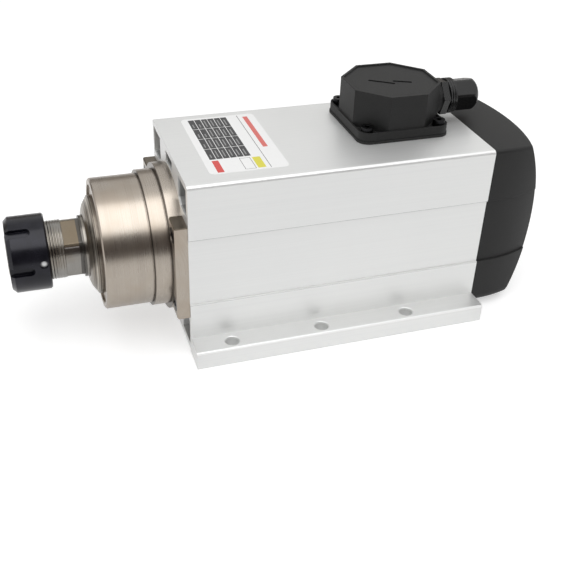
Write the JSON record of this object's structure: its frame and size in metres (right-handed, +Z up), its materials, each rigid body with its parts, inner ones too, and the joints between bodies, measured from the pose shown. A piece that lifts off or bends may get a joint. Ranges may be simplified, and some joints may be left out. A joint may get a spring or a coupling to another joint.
{
  "type": "motor spindle",
  "caption": "Square air-cooled motor spindle on two bolt-down feet, with a collet nose, turned bearing housing, domed fan cover and terminal box.",
  "frame": {"origin": "centre of the foot bolt pattern, in the plane of the feet", "axes": "+X along the spindle axis from the nose to the fan cover, +Y to the side of the terminal box, +Z up from the feet"},
  "size_m": [0.3094, 0.118, 0.1315],
  "materials": {
    "anodised_aluminium": "satin clear anodised",
    "nickel_steel": "turned and nickel plated, warm grey",
    "ground_steel": "ground bright steel",
    "black_oxide": "blue-black oxide, semi-gloss",
    "bearing_steel": "polished bearing steel",
    "cage_resin": "brown fabric resin",
    "cast_aluminium": "cast, machined faces",
    "lamination": "stacked electrical sheet",
    "copper_winding": "varnished copper wire",
    "black_plastic": "fine textured moulding",
    "black_nylon": "semi-gloss nylon",
    "black_rubber": "matt rubber",
    "screw_steel": "black socket screw",
    "insulator": "dark moulded insulator",
    "brass_stud": "plain brass",
    "lead_sleeve": "red sleeving"
  },
  "bodies": {
    "motor_body": {"body_extrusion": "anodised_aluminium", "front_bearing_housing": "nickel_steel", "front_cap": "nickel_steel", "front_cap_screws": "screw_steel", "flange_screws": "screw_steel", "front_bearing_outer_rings": "bearing_steel", "front_outer_spacer": "ground_steel", "stator_core": "lamination", "stator_windings": "copper_winding", "motor_leads": "lead_sleeve", "rear_bearing_bracket": "cast_aluminium", "bracket_screws": "screw_steel", "rear_bearing_outer_rings": "bearing_steel", "preload_spring": "ground_steel", "rear_cover": "black_plastic", "rear_cover_screws": "screw_steel", "terminal_gasket": "black_rubber", "terminal_cap": "black_plastic", "terminal_cap_screws": "screw_steel", "terminal_block": "insulator", "terminal_studs": "brass_stud", "gland_body": "black_nylon", "gland_face_seal": "black_rubber", "gland_locknut": "black_nylon"},
    "rotor": {"spindle_shaft": "ground_steel", "dust_ring": "ground_steel", "front_bearing_inner_rings": "bearing_steel", "front_inner_spacer": "ground_steel", "front_bearing_locknut": "ground_steel", "rotor_core": "lamination", "rotor_end_rings": "cast_aluminium", "rear_bearing_inner_rings": "bearing_steel", "rear_bearing_locknut": "ground_steel", "cooling_fan": "black_plastic", "fan_retaining_ring": "ground_steel"},
    "front_ball_sets": {"front_bearing_balls": "bearing_steel", "front_bearing_cages": "cage_resin"},
    "rear_ball_sets": {"rear_bearing_balls": "bearing_steel", "rear_bearing_cages": "cage_resin"},
    "collet": {"collet": "ground_steel"},
    "collet_nut": {"collet_nut": "black_oxide"},
    "gland_seal": {"gland_seal": "black_rubber"},
    "gland_nut": {"gland_nut": "black_nylon"}
  },
  "joints": [
    {"name": "spindle_spin", "type": "hinge", "parent": "motor_body", "child": "rotor", "pos_m": [0, 0, 0.0535], "axis": [1, 0, 0], "continuous": true},
    {"name": "front_balls_orbit", "type": "hinge", "parent": "motor_body", "child": "front_ball_sets", "pos_m": [0, 0, 0.0535], "axis": [1, 0, 0], "continuous": true},
    {"name": "rear_balls_orbit", "type": "hinge", "parent": "motor_body", "child": "rear_ball_sets", "pos_m": [0, 0, 0.0535], "axis": [1, 0, 0], "continuous": true},
    {"name": "collet_travel", "type": "slide", "parent": "rotor", "child": "collet", "axis": [-1, 0, 0], "range_m": [0, 0.0045]},
    {"name": "nut_turn", "type": "hinge", "parent": "collet", "child": "collet_nut", "pos_m": [0, 0, 0.0535], "axis": [-1, 0, 0], "range_deg": [0, 1080]},
    {"name": "gland_seal_travel", "type": "slide", "parent": "motor_body", "child": "gland_seal", "axis": [1, 0, 0], "range_m": [0, 0.0045]},
    {"name": "gland_nut_turn", "type": "hinge", "parent": "gland_seal", "child": "gland_nut", "pos_m": [0, 0.0075, 0.1185], "axis": [1, 0, 0], "range_deg": [0, 1080]}
  ],
  "couplings": [
    {"joint": "front_balls_orbit", "follows": "spindle_spin", "ratio": 0.4176},
    {"joint": "rear_balls_orbit", "follows": "spindle_spin", "ratio": 0.4139},
    {"joint": "collet_travel", "follows": "nut_turn", "m_per_rad": 0.00023873},
    {"joint": "gland_seal_travel", "follows": "gland_nut_turn", "m_per_rad": 0.00023873}
  ]
}
